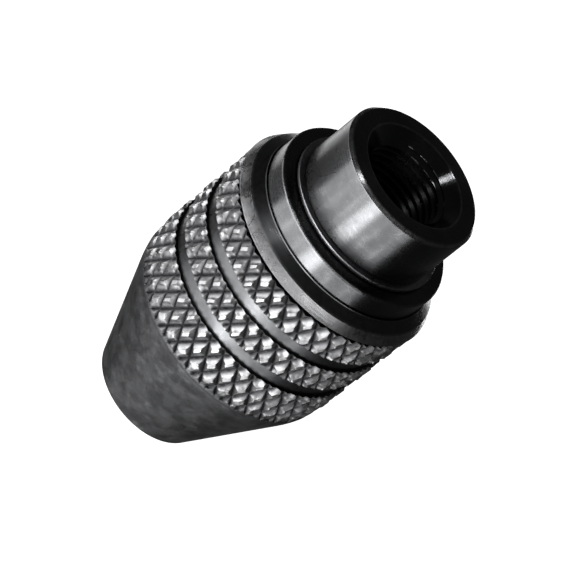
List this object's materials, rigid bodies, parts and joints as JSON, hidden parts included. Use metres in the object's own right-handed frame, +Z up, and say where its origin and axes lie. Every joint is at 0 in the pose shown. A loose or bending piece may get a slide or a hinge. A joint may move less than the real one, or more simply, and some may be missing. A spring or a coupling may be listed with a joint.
{
  "type": "drill chuck",
  "caption": "Small keyless drill chuck: three jaws in a tapered nose, a knurled clamping sleeve and a rear boss with a threaded spindle socket.",
  "frame": {"origin": "middle of the sleeve's flat nose face, on the spindle axis", "axes": "+Z runs up the spindle axis from the nose to the spindle boss; +Y points at the first jaw; +X follows by the right-hand rule"},
  "size_m": [0.02, 0.02, 0.0334],
  "materials": {
    "body_black_steel": "black oxide over fine turning, worn bright on the boss",
    "sleeve_black_steel": "black oxide, worn to bright steel on the knurl crests",
    "collar_black_steel": "satin black oxide",
    "jaw_steel": "ground hardened steel",
    "nut_steel": "oiled turned steel",
    "band_steel": "drawn steel",
    "race_steel": "ground bearing steel",
    "ball_steel": "polished bearing balls",
    "cage_brass": "stamped brass",
    "spring_steel": "bright spring steel"
  },
  "bodies": {
    "body": {"chuck_body": "body_black_steel", "rear_race": "race_steel", "retaining_ring": "spring_steel"},
    "clamping_sleeve": {"sleeve": "sleeve_black_steel", "rear_collar": "collar_black_steel", "nut_half_a": "nut_steel", "nut_half_b": "nut_steel", "nut_band": "band_steel", "front_race": "race_steel"},
    "bearing": {"bearing_balls": "ball_steel", "ball_cage": "cage_brass"},
    "first_jaw": {"jaw_1": "jaw_steel"},
    "second_jaw": {"jaw_2": "jaw_steel"},
    "third_jaw": {"jaw_3": "jaw_steel"}
  },
  "joints": [
    {"name": "sleeve_turn", "type": "hinge", "parent": "body", "child": "clamping_sleeve", "pos_m": [0, 0, 0.0125], "axis": [0, 0, 1], "range_deg": [0, 2070]},
    {"name": "bearing_turn", "type": "hinge", "parent": "body", "child": "bearing", "pos_m": [0, 0, 0.0153], "axis": [0, 0, 1], "range_deg": [0, 1035]},
    {"name": "jaw_1_slide", "type": "slide", "parent": "body", "child": "first_jaw", "axis": [0, -0.225, -0.9744], "range_m": [0, 0.0069]},
    {"name": "jaw_2_slide", "type": "slide", "parent": "body", "child": "second_jaw", "axis": [0.1948, 0.1125, -0.9744], "range_m": [0, 0.0069]},
    {"name": "jaw_3_slide", "type": "slide", "parent": "body", "child": "third_jaw", "axis": [-0.1948, 0.1125, -0.9744], "range_m": [0, 0.0069]}
  ],
  "couplings": [
    {"joint": "bearing_turn", "follows": "sleeve_turn", "ratio": 0.5},
    {"joint": "jaw_1_slide", "follows": "sleeve_turn", "m_per_rad": 0.00019099},
    {"joint": "jaw_2_slide", "follows": "sleeve_turn", "m_per_rad": 0.00019099},
    {"joint": "jaw_3_slide", "follows": "sleeve_turn", "m_per_rad": 0.00019099}
  ]
}
